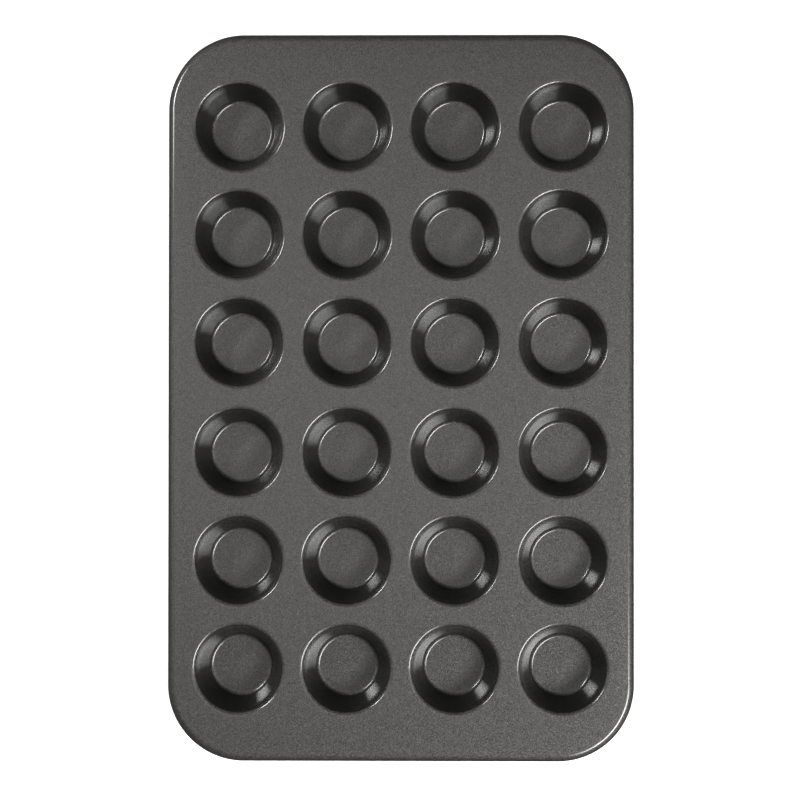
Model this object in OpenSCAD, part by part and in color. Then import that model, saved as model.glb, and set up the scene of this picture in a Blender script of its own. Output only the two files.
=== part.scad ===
// Mini muffin tin: one deep-drawn steel sheet with its edge curled round a stiffening wire.
// The sheet is held as its forming regions: the flat deck, one cup a node, and the rolled rim.
// Frame: origin under the middle, Z = 0 where the cup bottoms stand, +X across the columns,
// +Y along the rows. Row 1 is at +Y and column 1 is at -X.

/* [Cup layout] */
// Columns of cups, across the tin
columns = 4; // [2:1:6]
// Rows of cups, along the tin
rows = 6; // [2:2:8]
// Distance between cup centres
pitch = 59; // [54:0.5:80]
// Extra distance in the middle gap, where the two strikes of the drawing tool meet
middle_extra = 1; // [0:0.1:4]
// Outer cup centres to the long edges
side_margin = 38.9; // [36:0.1:60]
// Outer cup centres to the short edges
end_margin = 50.75; // [45:0.05:70]

/* [Cup] */
// Depth from the deck to the cup floor
cup_depth = 18.8; // [12:0.1:26]
// Diameter of the flat part of the floor
floor_d = 30; // [18:0.1:32]
// Inside radius between the floor and the wall
floor_fillet = 2.4; // [1:0.1:6]
// Angle between the wall and the floor, in degrees
wall_angle = 68.5; // [65:0.5:84]
// Outside radius of the rounded lip
lip_radius = 2.6; // [1:0.1:4]

/* [Sheet and rim] */
// Thickness of the steel sheet
sheet_t = 0.6; // [0.4:0.05:0.8]
// Outside radius of the tin's corners, seen from above
corner_r = 41.7; // [20:0.1:60]
// Outside radius where the deck rolls over into the skirt
roll_radius = 4.5; // [3:0.1:6]
// Height of the rim, from the deck to the bottom of the curl
rim_height = 9.6; // [9:0.1:13]
// How far the curl wraps round the wire, in degrees
curl_wrap = 290; // [200:5:300]

/* [Stiffening wire] */
// Diameter of the wire
wire_d = 2.5; // [1:0.1:3]
// Clearance between the wire and the curl
wire_clearance = 0.05; // [0.02:0.01:0.2]
// Opening between the butted ends of the wire
wire_joint = 0.8; // [0.2:0.1:3]

/* [Hidden] */
$fn = 96;
deck_z = sheet_t + cup_depth;
half_w = (columns - 1) * pitch / 2 + side_margin;
half_l = ((rows - 1) * pitch + middle_extra) / 2 + end_margin;
straight_x = half_w - corner_r;
straight_y = half_l - corner_r;
deck_corner_r = corner_r - roll_radius;

// The cup's section: radius of its flat floor, and the radius at which its lip meets the deck
floor_r = floor_d / 2;
wall_rise = cup_depth - (floor_fillet + lip_radius) * (1 - cos(wall_angle));
cup_r = floor_r + (floor_fillet + lip_radius) * sin(wall_angle) + wall_rise / tan(wall_angle);
fillet_centre = [floor_r, sheet_t + floor_fillet];
lip_centre = [cup_r, deck_z - lip_radius];
arc_steps = 8;

// Outside radius of the curl, and the height of its centre
curl_r = wire_d / 2 + wire_clearance + sheet_t;
curl_z = deck_z - rim_height + curl_r;

coating = [0.22, 0.22, 0.22];
bare_steel = [0.62, 0.63, 0.65];

function cup_name(row, column) = str("cup_r", row, "_c", column);
function cup_x(column) = (column - (columns + 1) / 2) * pitch;
function cup_y(row) = ((rows + 1) / 2 - row) * pitch + (row > rows / 2 ? -1 : 1) * middle_extra / 2;

function arc(centre, radius, from, to) =
    [for (i = [0:arc_steps])
        let (a = from + (to - from) * i / arc_steps)
        centre + radius * [cos(a), sin(a)]];

// One face of the cup's sheet from its axis out to the deck, at a given depth below the upper face
function cup_face(depth) = concat(
    [[0, sheet_t - depth]],
    arc(fillet_centre, floor_fillet + depth, -90, wall_angle - 90),
    arc(lip_centre, lip_radius - depth, 90 + wall_angle, 90));

function reversed(list) = [for (i = [len(list) - 1:-1:0]) list[i]];

module cup_section() {
    polygon(concat(cup_face(sheet_t), reversed(cup_face(0))));
}

module cup() {
    color(coating)
        rotate_extrude()
            cup_section();
}

module rounded_plate(half_x, half_y, r, thickness) {
    linear_extrude(thickness) {
        square([2 * half_x, 2 * (half_y - r)], center = true);
        square([2 * (half_x - r), 2 * half_y], center = true);
        for (sx = [-1, 1], sy = [-1, 1])
            translate([sx * (half_x - r), sy * (half_y - r)])
                circle(r = r);
    }
}

// Flat web between the cups and out to the start of the roll-over
module deck() {
    color(coating)
        translate([0, 0, deck_z - sheet_t])
            difference() {
                rounded_plate(half_w - roll_radius, half_l - roll_radius, deck_corner_r, sheet_t);
                for (row = [1:rows], column = [1:columns])
                    translate([cup_x(column), cup_y(row), -1])
                        cylinder(r = cup_r, h = sheet_t + 2);
            }
}

module sheet_ring(outer_r) {
    difference() {
        circle(r = outer_r);
        circle(r = outer_r - sheet_t);
    }
}

// Section with x = 0 on the outer edge and y as the height: roll-over, skirt, and the curl, which
// is a ring left open between the skirt and the sheet's own edge
module rim_section() {
    open_angle = 360 - curl_wrap;
    reach = 3 * curl_r;
    translate([-roll_radius, deck_z - roll_radius])
        intersection() {
            sheet_ring(roll_radius);
            square(roll_radius);
        }
    translate([-sheet_t, curl_z])
        square([sheet_t, deck_z - roll_radius - curl_z]);
    translate([-curl_r, curl_z])
        difference() {
            sheet_ring(curl_r);
            polygon(concat([[0, 0]],
                           [for (a = [0, open_angle / 2, open_angle]) reach * [cos(a), sin(a)]]));
        }
}

module wire_section() {
    translate([-curl_r, curl_z])
        circle(d = wire_d);
}

// Carries a section round the four corners and along the four straight sides
module round_the_edge() {
    for (quarter = [0:3]) {
        across = quarter % 2 == 0;
        x = (quarter == 0 || quarter == 3 ? 1 : -1) * straight_x;
        y = (quarter < 2 ? 1 : -1) * straight_y;
        side = 2 * (across ? straight_x : straight_y);
        translate([x, y, 0])
            rotate([0, 0, 90 * quarter]) {
                rotate_extrude(angle = 90)
                    translate([corner_r, 0])
                        children();
                rotate([0, 0, 90])
                    rotate([90, 0, 0])
                        mirror([0, 0, 1])
                            linear_extrude(side)
                                translate([corner_r, 0])
                                    children();
            }
    }
}

module rolled_rim() {
    color(coating)
        round_the_edge()
            rim_section();
}

module rim_wire() {
    color(bare_steel)
        difference() {
            round_the_edge()
                wire_section();
            translate([-wire_joint / 2, -half_l - 1, 0])
                cube([wire_joint, corner_r, deck_z]);
        }
}

deck();
rolled_rim();
rim_wire();
for (row = [1:rows], column = [1:columns])
    translate([cup_x(column), cup_y(row), 0])
            cup();
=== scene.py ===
# Mini muffin tin: the coated sheet's regions and the rim's wire as fine meshes, their finishes,
# a plain studio and the camera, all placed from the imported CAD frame. Lengths are in metres and
# angles in degrees, unless a line says otherwise.
import math

import bpy
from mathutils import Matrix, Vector, geometry, noise


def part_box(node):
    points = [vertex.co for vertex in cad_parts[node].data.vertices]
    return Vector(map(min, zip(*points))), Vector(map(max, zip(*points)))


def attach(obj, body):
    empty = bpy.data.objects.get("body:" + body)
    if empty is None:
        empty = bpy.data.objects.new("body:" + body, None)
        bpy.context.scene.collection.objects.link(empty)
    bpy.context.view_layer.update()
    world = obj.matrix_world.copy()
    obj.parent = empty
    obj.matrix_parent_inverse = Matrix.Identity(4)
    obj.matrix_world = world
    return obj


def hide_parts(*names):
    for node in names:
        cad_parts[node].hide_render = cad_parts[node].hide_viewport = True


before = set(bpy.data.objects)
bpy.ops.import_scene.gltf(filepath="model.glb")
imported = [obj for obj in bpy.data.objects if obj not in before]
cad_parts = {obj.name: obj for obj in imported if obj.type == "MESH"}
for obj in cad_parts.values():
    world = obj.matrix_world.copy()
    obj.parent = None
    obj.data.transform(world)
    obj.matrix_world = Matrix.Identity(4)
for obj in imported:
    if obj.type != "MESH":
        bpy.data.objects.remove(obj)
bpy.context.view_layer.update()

MM = 0.001

# Sheet and forming radii, as in the CAD sections
FLOOR_R = 15.0 * MM
FLOOR_FILLET = 2.4 * MM
LIP_R = 2.6 * MM
ROLL_R = 4.5 * MM
CORNER_R = 41.7 * MM
WIRE_R = 1.25 * MM
WIRE_CLEARANCE = 0.05 * MM
CURL_WRAP = 290.0

# A cup's wall eases out of the fillet's bend, and again to stand a little steeper under the lip:
# how many degrees each bend turns, and its radius
FOOT_EASE = 8.0
FOOT_R = 9.0 * MM
HEAD_EASE = 8.0
HEAD_R = 45.0 * MM
# Slopes between which the wall's own is searched, and how often that range is halved
SLOPE_RANGE = (45.0, 89.0)
HALVINGS = 60

# Waviness that forming leaves: its height, then each noise as cycles a metre, share and level cut
# through it, and the sum of the shares
WAVINESS = 0.06 * MM
WAVES = ((9.0, 1.0, 3.7), (21.0, 0.5, 8.1))
WAVES_TOTAL = 1.5
# Fall of the deck towards the rim, and how far in from the edge it starts
CROWN_DROP = 0.36 * MM
CROWN_REACH = 14.0 * MM

# Mesh fineness
CUP_SEGMENTS = 128
ARC_STEPS = 14
EASE_STEPS = 5
WALL_STEPS = 4
ROLL_STEPS = 20
CURL_STEPS = 40
WIRE_STEPS = 16
CORNER_STEPS = 48
SIDE_STEP = 6.0 * MM
DECK_GRID = 4.0 * MM
DECK_GRID_MARGIN = 0.4 * DECK_GRID
MERGE_DISTANCE = 1e-7
SHARP_ANGLE = 35.0
# Flat band kept on the cup and the rim beyond their curves, so that the shading runs on unbroken
LAND = 0.4 * MM

# Camera: height above the deck, foot on the deck, turns about X, Y and Z, and how its view is framed
CAMERA_HEIGHT = 0.944
CAMERA_FOOT = (15.8 * MM, -12.4 * MM)
CAMERA_TURN = (0.473, 0.536, 0.039)
CAMERA_LENS = 77.97
CAMERA_SENSOR = 36.0
CAMERA_SHIFT = (-0.0170, 0.0073)
CAMERA_CLIP = (0.05, 20.0)

# Coating: flecks a metre, their tilt and the spread of their brightness, then base and clear coat
FLECK_SCALE = 3200.0
FLECK_LEAN = 0.45
FLECK_LEVELS = (0.45, 1.55)
COATING_COLOUR = (0.0742, 0.0724, 0.0684, 1.0)
COATING_ROUGHNESS = 0.6
CLEAR_ROUGHNESS = 0.12
CLEAR_IOR = 1.5
# Painted shade on steep faces such as the cup walls, lips and rim roll, which get a darker base
# colour: between which upward parts of the normal, and from what to what
STEEP_SHADE_UPWARD = (0.38, 0.72)
STEEP_SHADE_LEVELS = (0.35, 1.0)

# Wire
WIRE_COLOUR = (0.55, 0.56, 0.58, 1.0)
WIRE_GRAIN_SCALE = 900.0
WIRE_ROUGHNESS = (0.25, 0.45)

# Studio floor: half its side, its two tones, and its own light, which keeps it an even white
FLOOR_HALF = 2.5
FLOOR_MOTTLE_SCALE = 40.0
FLOOR_TONES = ((0.90, 0.90, 0.90, 1.0), (0.94, 0.94, 0.94, 1.0))
FLOOR_ROUGHNESS = 0.9
FLOOR_EMISSION = 0.6
WHITE = (1.0, 1.0, 1.0, 1.0)

# Soft boxes: centre above the deck, long side, short side and average radiance
KEY_BOX = ((0.762, -0.723, 1.000), 1.250, 0.470, 14.5)
FILL_BOX = ((-1.120, 0.634, 1.005), 0.720, 0.230, 29.0)
# u(1 - u) averages 1/6 over a side, so over both sides this brings the average back to 1
FADE_GAIN = 36.0

# Ceiling glow: its direction and spread, as sines of angles from overhead along X and Y
GLOW_CENTRE = (0.018, 0.047)
GLOW_SPREAD = (1.0, 0.208)
GLOW_RADIANCE = 0.92
ROOM_RADIANCE = 0.16

# Places and sizes that come from the frame
deck_low, deck_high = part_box("deck")
rim_low, rim_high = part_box("rolled_rim")
DECK_Z = deck_high.z
SHEET = deck_high.z - deck_low.z
HALF_W = rim_high.x
HALF_L = rim_high.y
CURL_R = WIRE_R + WIRE_CLEARANCE + SHEET
CURL_Z = rim_low.z + CURL_R
CUP_NODES = sorted(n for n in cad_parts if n.startswith("cup_"))


# ---------------------------------------------------------------- camera
def make_camera():
    data = bpy.data.cameras.new("photo_camera")
    data.sensor_width = CAMERA_SENSOR
    data.lens = CAMERA_LENS
    data.shift_x, data.shift_y = CAMERA_SHIFT
    data.clip_start, data.clip_end = CAMERA_CLIP
    camera = bpy.data.objects.new("photo_camera", data)
    camera.location = (*CAMERA_FOOT, DECK_Z + CAMERA_HEIGHT)
    camera.rotation_euler = [math.radians(turn) for turn in CAMERA_TURN]
    bpy.context.scene.collection.objects.link(camera)
    bpy.context.scene.camera = camera


# ---------------------------------------------------------------- shared mesh code
def arc(centre, radius, start, end, steps=ARC_STEPS):
    turn = [math.radians(start + (end - start) * i / steps) for i in range(steps + 1)]
    return [(centre[0] + radius * math.cos(a), centre[1] + radius * math.sin(a)) for a in turn]


def between(first, last, steps):
    """The points that divide a straight line into equal steps, without its ends."""
    return [(first[0] + (last[0] - first[0]) * k / steps, first[1] + (last[1] - first[1]) * k / steps)
            for k in range(1, steps)]


def edge_distance(x, y):
    """How far a point of the plan lies inside the tin's outline."""
    dx = abs(x) - (HALF_W - CORNER_R)
    dy = abs(y) - (HALF_L - CORNER_R)
    reach = math.hypot(dx, dy) if dx > 0 and dy > 0 else max(dx, dy)
    return CORNER_R - reach


def formed(x, y, z):
    """A point of the sheet as it comes off the press: slightly wavy, and turned down towards the edge.

    The waviness only raises it, so that no cup goes below the surface that the tin stands on.
    """
    wave = sum(share * noise.noise(Vector((x * cycles, y * cycles, level)))
               for cycles, share, level in WAVES)
    nearness = max(0.0, 1.0 - edge_distance(x, y) / CROWN_REACH)
    drop = CROWN_DROP * nearness ** 2 * z / DECK_Z
    return (x, y, z + WAVINESS * (1.0 + wave / WAVES_TOTAL) - drop)


def link_mesh(name, verts, faces, material):
    mesh = bpy.data.meshes.new(name)
    mesh.from_pydata(verts, [], faces)
    mesh.validate()
    mesh.shade_smooth()
    mesh.set_sharp_from_angle(angle=math.radians(SHARP_ANGLE))
    mesh.materials.append(material)
    piece = bpy.data.objects.new(name, mesh)
    bpy.context.scene.collection.objects.link(piece)
    return piece


# ---------------------------------------------------------------- cups
def cup_place(node):
    """Centre of a cup, and the radius at which its lip meets the deck."""
    low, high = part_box(node)
    return (low + high) / 2, (high.x - low.x) / 2


def wall_angle(depth, run):
    """Slope at which a wall of this depth and run meets all its bends tangentially."""
    low, high = SLOPE_RANGE[0], SLOPE_RANGE[1] - HEAD_EASE
    for _ in range(HALVINGS):
        middle = (low + high) / 2
        foot, wall, head = (math.radians(a) for a in (middle - FOOT_EASE, middle, middle + HEAD_EASE))
        rise = FLOOR_FILLET * (1 - math.cos(foot)) + FOOT_R * (math.cos(foot) - math.cos(wall))
        rise += HEAD_R * (math.cos(wall) - math.cos(head)) + LIP_R * (1 - math.cos(head))
        reach = FLOOR_FILLET * math.sin(foot) + FOOT_R * (math.sin(wall) - math.sin(foot))
        reach += HEAD_R * (math.sin(head) - math.sin(wall)) + LIP_R * math.sin(head)
        reach += (depth - rise) / math.tan(wall)
        low, high = (middle, high) if reach > run else (low, middle)
    return (low + high) / 2


def tangent_centre(centre, radius, new_radius, angle):
    """Centre of the arc that carries on from another one where the slope is a given angle."""
    turn = math.radians(angle)
    away = radius - new_radius
    return (centre[0] + away * math.sin(turn), centre[1] - away * math.cos(turn))


def cup_outline(floor_z, cup_r):
    """Upper face from the axis out to the deck, then the underside back, as (radius, height)."""
    wall = wall_angle(DECK_Z - floor_z - SHEET, cup_r - FLOOR_R)
    foot = wall - FOOT_EASE
    head = wall + HEAD_EASE
    fillet_centre = (FLOOR_R, floor_z + SHEET + FLOOR_FILLET)
    foot_centre = tangent_centre(fillet_centre, FLOOR_FILLET, FOOT_R, foot)
    lip_centre = (cup_r, DECK_Z - LIP_R)
    head_centre = tangent_centre(lip_centre, -LIP_R, HEAD_R, head)

    def face(depth):
        floor = floor_z + SHEET - depth
        points = [(0.0, floor), (FLOOR_R / 2, floor)]
        points += arc(fillet_centre, FLOOR_FILLET + depth, -90, foot - 90)
        points += arc(foot_centre, FOOT_R + depth, foot - 90, wall - 90, EASE_STEPS)[1:]
        bend = arc(head_centre, HEAD_R + depth, wall - 90, head - 90, EASE_STEPS)
        points += between(points[-1], bend[0], WALL_STEPS) + bend
        points += arc(lip_centre, LIP_R - depth, 90 + head, 90)[1:]
        return points + [(cup_r + LAND, DECK_Z - depth)]

    return face(0.0) + face(SHEET)[::-1]


def revolve(name, outline, centre, material):
    """A closed solid of revolution whose outline starts and ends on the axis."""
    verts = [(centre.x, centre.y, outline[0][1]), (centre.x, centre.y, outline[-1][1])]
    section = outline[1:-1]
    for i in range(CUP_SEGMENTS):
        a = 2 * math.pi * i / CUP_SEGMENTS
        verts += [(centre.x + r * math.cos(a), centre.y + r * math.sin(a), z) for r, z in section]
    count = len(section)
    faces = []
    for i in range(CUP_SEGMENTS):
        a = 2 + i * count
        b = 2 + (i + 1) % CUP_SEGMENTS * count
        faces.append((0, b, a))
        faces += [(a + k, b + k, b + k + 1, a + k + 1) for k in range(count - 1)]
        faces.append((1, a + count - 1, b + count - 1))
    return link_mesh(name, [formed(*v) for v in verts], faces, material)


def make_cup(node, material):
    centre, cup_r = cup_place(node)
    floor_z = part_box(node)[0].z
    return revolve(node + "_sheet", cup_outline(floor_z, cup_r), centre, material)


# ---------------------------------------------------------------- rim and wire
def outline_path(inset):
    """Points round the tin's outline, set in by a distance, with the corners as quarter circles."""
    points = []
    for quarter in range(4):
        sx = 1 if quarter in (0, 3) else -1
        sy = 1 if quarter < 2 else -1
        centre = (sx * (HALF_W - CORNER_R), sy * (HALF_L - CORNER_R))
        start = 90 * quarter
        corner = arc(centre, CORNER_R - inset, start, start + 90, CORNER_STEPS)
        side = 2 * (HALF_W - CORNER_R if quarter % 2 == 0 else HALF_L - CORNER_R)
        along = math.radians(start + 90)
        end = (corner[-1][0] - side * math.sin(along), corner[-1][1] + side * math.cos(along))
        points += corner + between(corner[-1], end, int(side / SIDE_STEP))
    return points


def sweep(name, section, material):
    """A closed section, as (inset, height) points, carried round the outline."""
    rings = [[(x, y, z) for x, y in outline_path(inset)] for inset, z in section]
    count = len(rings[0])
    verts = [formed(*v) for ring in rings for v in ring]
    faces = []
    for s in range(len(rings)):
        t = (s + 1) % len(rings)
        for k in range(count):
            m = (k + 1) % count
            faces.append((s * count + k, s * count + m, t * count + m, t * count + k))
    return link_mesh(name, verts, faces, material)


def rim_section():
    """Roll-over, skirt and curl, outer face down and inner face back, as (inset, height)."""
    def face(depth):
        roll = arc((0.0, DECK_Z - ROLL_R), ROLL_R - depth, 90, 0, ROLL_STEPS)
        curl = arc((0.0, CURL_Z), CURL_R - depth, 0, -CURL_WRAP, CURL_STEPS)
        points = [(ROLL_R + LAND, DECK_Z - depth)]
        points += [(ROLL_R - x, z) for x, z in roll]
        points += [(CURL_R - x, z) for x, z in curl]
        return points

    return face(0.0) + face(SHEET)[::-1]


def wire_section():
    return arc((CURL_R, CURL_Z), WIRE_R, 0, 360, WIRE_STEPS)[:-1]


# ---------------------------------------------------------------- deck
def make_deck(material):
    """The flat web: a fine triangulated plate with a round mouth for each cup."""
    edge = outline_path(ROLL_R + LAND)
    points = [Vector(p) for p in edge]
    edges = [(k, (k + 1) % len(edge)) for k in range(len(edge))]
    mouths = []
    for node in CUP_NODES:
        centre, cup_r = cup_place(node)
        mouths.append((centre, cup_r + LAND))
    for centre, radius in mouths:
        first = len(points)
        for i in range(CUP_SEGMENTS):
            a = 2 * math.pi * i / CUP_SEGMENTS
            points.append(Vector((centre.x + radius * math.cos(a), centre.y + radius * math.sin(a))))
            edges.append((first + i, first + (i + 1) % CUP_SEGMENTS))

    def on_web(x, y, margin):
        if edge_distance(x, y) < ROLL_R + LAND + margin:
            return False
        return all(math.hypot(x - c.x, y - c.y) > r + margin for c, r in mouths)

    for i in range(int(2 * HALF_W / DECK_GRID) + 1):
        for j in range(int(2 * HALF_L / DECK_GRID) + 1):
            x = -HALF_W + i * DECK_GRID
            y = -HALF_L + j * DECK_GRID
            if on_web(x, y, DECK_GRID_MARGIN):
                points.append(Vector((x, y)))
    flat, _, triangles, _, _, _ = geometry.delaunay_2d_cdt(points, edges, [], 0, MERGE_DISTANCE)

    def middle(triangle):
        return sum(flat[k].x for k in triangle) / 3, sum(flat[k].y for k in triangle) / 3

    web = [tuple(t) for t in triangles if on_web(*middle(t), 0.0)]
    count = len(flat)
    verts = [formed(p.x, p.y, DECK_Z) for p in flat]
    verts += [(x, y, z - SHEET) for x, y, z in verts]
    faces = web + [tuple(k + count for k in reversed(t)) for t in web]
    directed = {(t[k], t[(k + 1) % 3]) for t in web for k in range(3)}
    faces += [(b, a, a + count, b + count) for a, b in directed if (b, a) not in directed]
    return link_mesh("deck_sheet", verts, faces, material)


# ---------------------------------------------------------------- shader nodes
def feed(tree, socket, value):
    """Link an output into a socket, or set the socket itself to a plain value."""
    if isinstance(value, bpy.types.NodeSocket):
        tree.links.new(value, socket)
    else:
        socket.default_value = value


def add_node(tree, kind, inputs, **settings):
    """A new node with its settings made first, and then each of its inputs linked or set."""
    node = tree.nodes.new(kind)
    for name, value in settings.items():
        setattr(node, name, value)
    for name, value in inputs.items():
        feed(tree, node.inputs[name], value)
    return node


def maths(tree, operation, first, second):
    node = add_node(tree, "ShaderNodeMath", {0: first, 1: second}, operation=operation)
    return node.outputs["Value"]


def vector_maths(tree, operation, first, second, output="Vector"):
    node = add_node(tree, "ShaderNodeVectorMath", {0: first, 1: second}, operation=operation)
    return node.outputs[output]


def map_range(tree, value, source, target, **settings):
    inputs = {"Value": value, "From Min": source[0], "From Max": source[1],
              "To Min": target[0], "To Max": target[1]}
    return add_node(tree, "ShaderNodeMapRange", inputs, **settings).outputs["Result"]


def multiply_colours(tree, first, second):
    inputs = {"Factor": 1.0, "A": first, "B": second}
    node = add_node(tree, "ShaderNodeMix", inputs, data_type="RGBA", blend_type="MULTIPLY")
    return node.outputs["Result"]


def surface_texture(tree, kind, scale):
    """A texture that is fixed to the object, in cycles a metre."""
    where = tree.nodes.new("ShaderNodeTexCoord").outputs["Object"]
    return add_node(tree, kind, {"Scale": scale, "Vector": where})


def new_material(name, finish):
    """A material whose finish is a function: it gives what goes to each of the shader's inputs."""
    material = bpy.data.materials.new(name)
    material.use_nodes = True
    tree = material.node_tree
    shader = tree.nodes["Principled BSDF"]
    for socket, value in finish(tree).items():
        feed(tree, shader.inputs[socket], value)
    return material


# ---------------------------------------------------------------- finishes
def coated_steel(tree):
    """Metallic fleck in a rough dark base under a smooth clear gloss."""
    fleck = surface_texture(tree, "ShaderNodeTexVoronoi", FLECK_SCALE).outputs["Color"]
    normal = tree.nodes.new("ShaderNodeNewGeometry").outputs["Normal"]

    # each fleck lies at its own slight tilt
    offset = vector_maths(tree, "SUBTRACT", fleck, (0.5, 0.5, 0.5))
    lean = vector_maths(tree, "MULTIPLY", offset, (FLECK_LEAN, FLECK_LEAN, FLECK_LEAN))
    leaning = vector_maths(tree, "ADD", normal, lean)
    tilted = add_node(tree, "ShaderNodeVectorMath", {0: leaning}, operation="NORMALIZE")

    # some flecks are brighter than others
    channels = add_node(tree, "ShaderNodeSeparateColor", {"Color": fleck})
    level = map_range(tree, channels.outputs["Blue"], (0.0, 1.0), FLECK_LEVELS)
    colour = multiply_colours(tree, COATING_COLOUR, level)

    # painted shade: steep faces such as the cup walls get a darker base colour, standing in for how
    # little light they send back
    parts = add_node(tree, "ShaderNodeSeparateXYZ", {"Vector": normal})
    upward = maths(tree, "ABSOLUTE", parts.outputs["Z"], 0.0)
    steep_shade = map_range(tree, upward, STEEP_SHADE_UPWARD, STEEP_SHADE_LEVELS, interpolation_type="SMOOTHSTEP")

    return {
        "Base Color": multiply_colours(tree, colour, steep_shade),
        "Normal": tilted.outputs["Vector"],
        "Metallic": 1.0,
        "Roughness": COATING_ROUGHNESS,
        "Coat Weight": 1.0,
        "Coat Roughness": CLEAR_ROUGHNESS,
        "Coat IOR": CLEAR_IOR,
    }


def drawn_wire(tree):
    grain = surface_texture(tree, "ShaderNodeTexNoise", WIRE_GRAIN_SCALE).outputs["Fac"]
    return {
        "Base Color": WIRE_COLOUR,
        "Metallic": 1.0,
        "Roughness": map_range(tree, grain, (0.0, 1.0), WIRE_ROUGHNESS),
    }


def pale_floor(tree):
    mottle = surface_texture(tree, "ShaderNodeTexNoise", FLOOR_MOTTLE_SCALE).outputs["Fac"]
    tone = add_node(tree, "ShaderNodeValToRGB", {"Fac": mottle})
    for element, colour in zip(tone.color_ramp.elements, FLOOR_TONES):
        element.color = colour
    return {
        "Base Color": tone.outputs["Color"],
        "Roughness": FLOOR_ROUGHNESS,
        "Emission Color": WHITE,
        "Emission Strength": FLOOR_EMISSION,
    }


# ---------------------------------------------------------------- studio
def fade_to_edges(light):
    """The diffuser is brightest in its middle and dark at its edges."""
    light.use_nodes = True
    tree = light.node_tree
    place = tree.nodes.new("ShaderNodeNewGeometry").outputs["Parametric"]
    across = add_node(tree, "ShaderNodeSeparateXYZ", {"Vector": place})
    strength = FADE_GAIN
    for axis in ("X", "Y"):
        along = across.outputs[axis]
        hump = maths(tree, "MULTIPLY", along, maths(tree, "SUBTRACT", 1.0, along))
        strength = maths(tree, "MULTIPLY", hump, strength)
    feed(tree, tree.nodes["Emission"].inputs["Strength"], strength)


def soft_box(name, place, width, height, radiance):
    """A rectangular area light that faces the middle of the deck."""
    target = Vector((0.0, 0.0, DECK_Z))
    light = bpy.data.lights.new(name, "AREA")
    light.shape = "RECTANGLE"
    light.size = width
    light.size_y = height
    light.energy = radiance * math.pi * width * height
    fade_to_edges(light)
    box = bpy.data.objects.new(name, light)
    box.location = target + Vector(place)
    box.rotation_mode = "QUATERNION"
    box.rotation_quaternion = (-Vector(place)).to_track_quat("-Z", "Y")
    bpy.context.scene.collection.objects.link(box)


def studio_dome():
    """A dim room whose ceiling glows softly in one broad patch, wider than it is long."""
    world = bpy.data.worlds.new("studio_dome")
    world.use_nodes = True
    tree = world.node_tree
    direction = tree.nodes.new("ShaderNodeTexCoord").outputs["Generated"]
    away = vector_maths(tree, "SUBTRACT", direction, (*GLOW_CENTRE, 0.0))
    spread = (1 / GLOW_SPREAD[0], 1 / GLOW_SPREAD[1], 0.0)
    scaled = vector_maths(tree, "MULTIPLY", away, spread)
    distance = vector_maths(tree, "DOT_PRODUCT", scaled, scaled, "Value")
    glow = maths(tree, "POWER", math.exp(-1.0), distance)
    height = add_node(tree, "ShaderNodeSeparateXYZ", {"Vector": direction}).outputs["Z"]
    overhead = maths(tree, "GREATER_THAN", height, 0.0)
    ceiling = maths(tree, "MULTIPLY", maths(tree, "MULTIPLY", glow, overhead), GLOW_RADIANCE)
    background = tree.nodes["Background"]
    feed(tree, background.inputs["Color"], WHITE)
    feed(tree, background.inputs["Strength"], maths(tree, "ADD", ceiling, ROOM_RADIANCE))
    return world


def make_floor():
    """A white floor that doesn't show in reflections, so that the rim keeps its dark outline."""
    h = FLOOR_HALF
    verts = [(-h, -h, 0), (h, -h, 0), (h, h, 0), (-h, h, 0)]
    floor = link_mesh("studio_floor", verts, [(0, 1, 2, 3)], new_material("pale_floor", pale_floor))
    floor.visible_glossy = False


def make_studio():
    make_floor()
    soft_box("key_soft_box", *KEY_BOX)
    soft_box("fill_soft_box", *FILL_BOX)
    bpy.context.scene.world = studio_dome()
    bpy.context.scene.view_settings.view_transform = "Standard"


# ---------------------------------------------------------------- the tin
def finish_piece(piece, node):
    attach(piece, "root")
    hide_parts(node)


make_camera()
coating = new_material("nonstick_coating", coated_steel)
bare_wire = new_material("drawn_steel_wire", drawn_wire)
for cup_node in CUP_NODES:
    finish_piece(make_cup(cup_node, coating), cup_node)
finish_piece(make_deck(coating), "deck")
finish_piece(sweep("rolled_rim_sheet", rim_section(), coating), "rolled_rim")
finish_piece(sweep("rim_wire_steel", wire_section(), bare_wire), "rim_wire")
make_studio()
